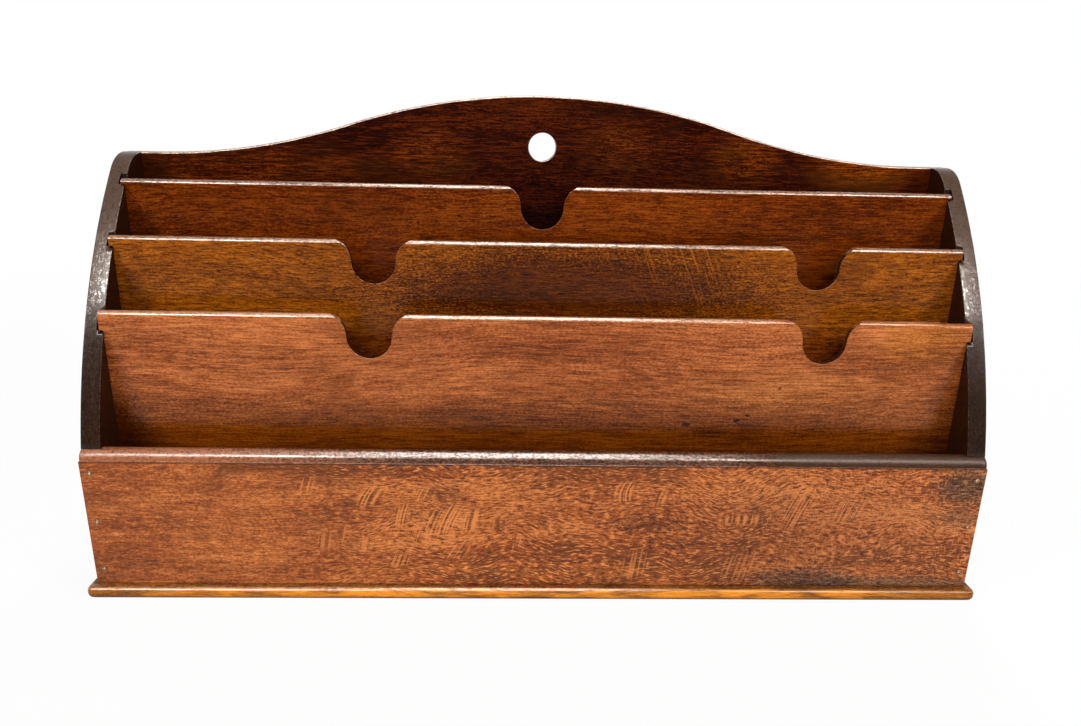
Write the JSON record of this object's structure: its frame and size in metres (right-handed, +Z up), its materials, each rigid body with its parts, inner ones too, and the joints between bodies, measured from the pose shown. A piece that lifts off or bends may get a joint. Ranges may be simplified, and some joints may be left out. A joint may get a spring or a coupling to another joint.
{
  "type": "desktop letter rack",
  "caption": "Stained wood letter rack with curved ends, a low rounded front, a crested back with a hanging hole, and lift-out dividers with finger notches.",
  "frame": {"origin": "under the middle of the base, on the surface that it stands on", "axes": "+X to the right along the front, +Y from front to back, +Z up"},
  "size_m": [0.3888, 0.0858, 0.2109],
  "materials": {
    "base_wood": "stained and polished",
    "end_wood": "stained and polished",
    "front_wood": "stained and polished",
    "back_wood": "stained and polished",
    "front_divider_wood": "stained and polished",
    "middle_divider_wood": "stained and polished",
    "rear_divider_wood": "stained and polished",
    "pin_metal": "dull"
  },
  "bodies": {
    "carcass": {"base_board": "base_wood", "left_end": "end_wood", "right_end": "end_wood", "front_board": "front_wood", "back_board": "back_wood", "front_pins": "pin_metal", "back_pins": "pin_metal", "base_pins": "pin_metal"},
    "front_divider": {"front_divider": "front_divider_wood"},
    "middle_divider": {"middle_divider": "middle_divider_wood"},
    "rear_divider": {"rear_divider": "rear_divider_wood"}
  },
  "joints": [
    {"name": "front_divider_lift", "type": "slide", "parent": "carcass", "child": "front_divider", "axis": [0, 0, 1], "range_m": [0, 0.12]},
    {"name": "middle_divider_lift", "type": "slide", "parent": "carcass", "child": "middle_divider", "axis": [0, 0, 1], "range_m": [0, 0.148]},
    {"name": "rear_divider_lift", "type": "slide", "parent": "carcass", "child": "rear_divider", "axis": [0, 0, 1], "range_m": [0, 0.171]}
  ]
}
